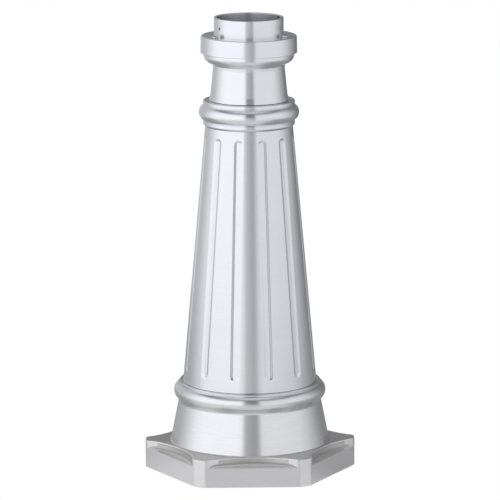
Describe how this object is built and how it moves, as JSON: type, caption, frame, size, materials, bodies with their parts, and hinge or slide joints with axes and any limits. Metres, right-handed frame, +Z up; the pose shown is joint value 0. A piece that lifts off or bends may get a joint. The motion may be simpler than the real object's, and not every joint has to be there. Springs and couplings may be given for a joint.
{
  "type": "lamp post base",
  "caption": "Fluted cast-aluminium lamp post base for a pier, with a scalloped hexagonal foot, turned mouldings and a round tenon that takes a lantern.",
  "frame": {"origin": "middle of the foot's underside, on the post's axis", "axes": "+Z up along the post's axis, -Y out of one flat of the hexagonal foot, +X out of one of its corners"},
  "size_m": [0.2322, 0.2074, 0.502],
  "materials": {
    "brushed_cast_aluminium": "brushed along the turning direction, clear lacquered",
    "turned_aluminium": "turned and fine brushed round the axis",
    "zinc_plated_steel": "bright zinc plated",
    "stainless_steel": "plain stainless",
    "black_rubber": "moulded matt",
    "green_passivated_steel": "green passivated"
  },
  "bodies": {
    "root": {"anchor_plate": "zinc_plated_steel", "astragal_ring": "turned_aluminium", "base_casting": "brushed_cast_aluminium", "clamp_bar": "zinc_plated_steel", "clocking_pin": "stainless_steel", "collar_cap": "turned_aluminium", "fluted_column": "brushed_cast_aluminium", "foot_gasket": "black_rubber", "ground_screw": "green_passivated_steel", "ground_washer": "zinc_plated_steel", "lantern_tenon": "turned_aluminium", "lower_spigot_seal": "black_rubber", "neck_casting": "turned_aluminium", "rod_clamp_nut": "zinc_plated_steel", "rod_flat_washer": "zinc_plated_steel", "rod_jam_nut": "zinc_plated_steel", "rod_lock_washer": "zinc_plated_steel", "rod_weld_nut": "zinc_plated_steel", "tenon_screw_left": "stainless_steel", "tenon_screw_rear": "stainless_steel", "tenon_screw_right": "stainless_steel", "tie_rod": "zinc_plated_steel", "upper_spigot_seal": "black_rubber", "wire_grommet": "black_rubber"}
  },
  "joints": []
}
